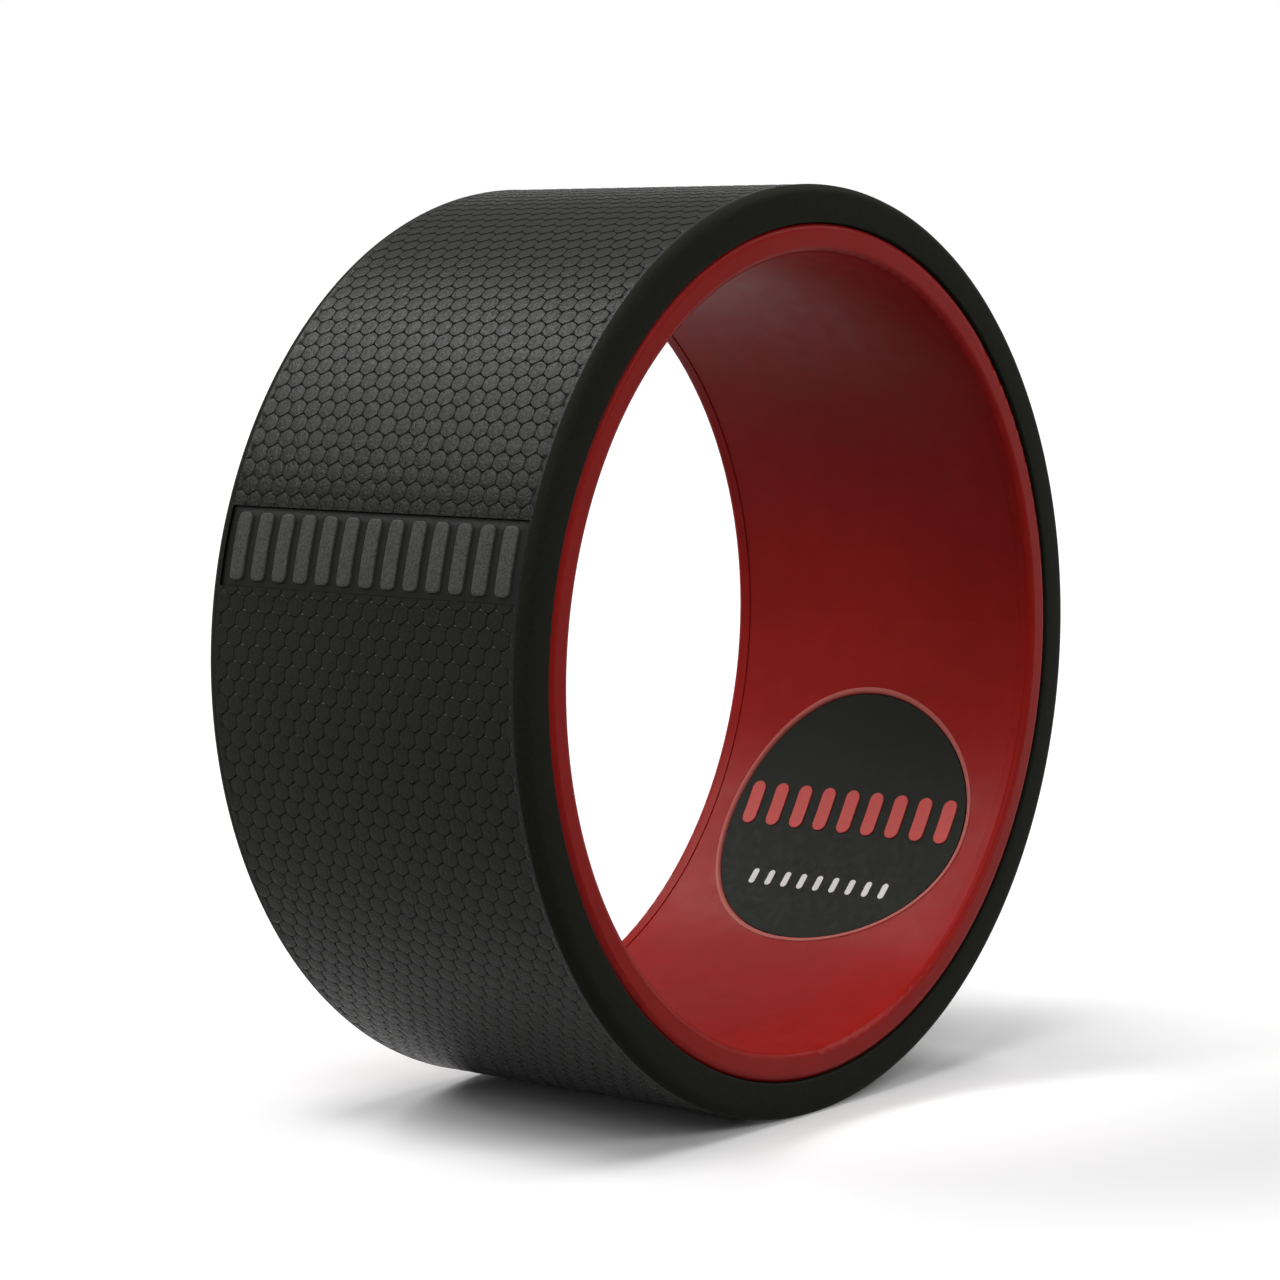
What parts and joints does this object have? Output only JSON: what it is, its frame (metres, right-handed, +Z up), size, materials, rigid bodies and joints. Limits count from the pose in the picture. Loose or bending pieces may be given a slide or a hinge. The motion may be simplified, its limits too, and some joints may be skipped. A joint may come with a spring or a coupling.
{
  "type": "yoga wheel",
  "caption": "Wide padded hoop for yoga and back stretching: a red hollow-walled plastic ring with clipped-on rims, wrapped in a black scaled tread cover over a foam cushion.",
  "frame": {"origin": "centre of the wheel, on its axle line and midway between its sides", "axes": "+Y along the axle line, from the front side to the rear side; +Z up, away from the flattened spot that the wheel stands on"},
  "size_m": [0.32, 0.136, 0.3195],
  "materials": {
    "hoop_red_plastic": "satin moulded plastic",
    "hoop_inner_plastic": "matt moulded plastic",
    "tread_elastomer": "matt moulded elastomer with small hexagonal scales",
    "panel_elastomer": "matt moulded elastomer, finely grained",
    "foam": "closed-cell foam",
    "adhesive": "dull glue film",
    "badge_plastic": "matt",
    "print_red": "matt print",
    "print_white": "matt print"
  },
  "bodies": {
    "root": {"drum": "hoop_inner_plastic", "liner": "hoop_red_plastic", "rim_ring_front": "hoop_red_plastic", "rim_ring_rear": "hoop_red_plastic", "hoop_adhesive": "adhesive", "cushion": "foam", "skin_adhesive": "adhesive", "tread_cover": "tread_elastomer", "panel_adhesive": "adhesive", "tread_panel": "panel_elastomer", "badge_pad": "adhesive", "badge_disc": "badge_plastic", "badge_mark_red": "print_red", "badge_mark_white": "print_white"}
  },
  "joints": []
}
